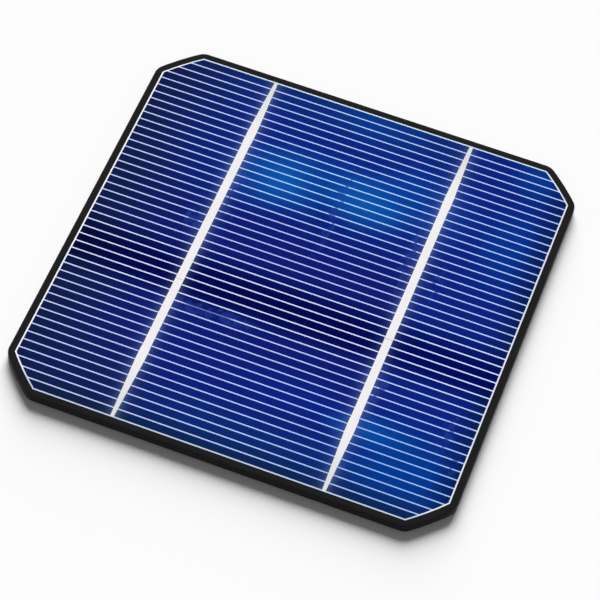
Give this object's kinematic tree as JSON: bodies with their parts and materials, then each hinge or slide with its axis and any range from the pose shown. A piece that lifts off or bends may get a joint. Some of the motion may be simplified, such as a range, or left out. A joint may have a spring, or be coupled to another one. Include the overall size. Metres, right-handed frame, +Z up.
{
  "type": "solar cell",
  "caption": "Pseudo-square blue silicon solar cell with a printed silver line grid and two tapered busbars, held by a slim black edge frame; turns light into current.",
  "frame": {"origin": "middle of the face that the frame rests on", "axes": "+X along the fine lines, +Y along the busbars, +Z up out of the blue front"},
  "size_m": [0.127, 0.127, 0.0028],
  "materials": {
    "frame_black": "matte",
    "blue_silicon": "gloss",
    "front_silver": "satin",
    "busbar_silver": "satin",
    "rear_aluminium": "matte",
    "rear_silver": "satin"
  },
  "bodies": {
    "root": {"edge_frame": "frame_black", "silicon_wafer": "blue_silicon", "finger_grid": "front_silver", "busbar_left": "busbar_silver", "busbar_right": "busbar_silver", "rear_field": "rear_aluminium", "rear_pads_left": "rear_silver", "rear_pads_right": "rear_silver"}
  },
  "joints": []
}
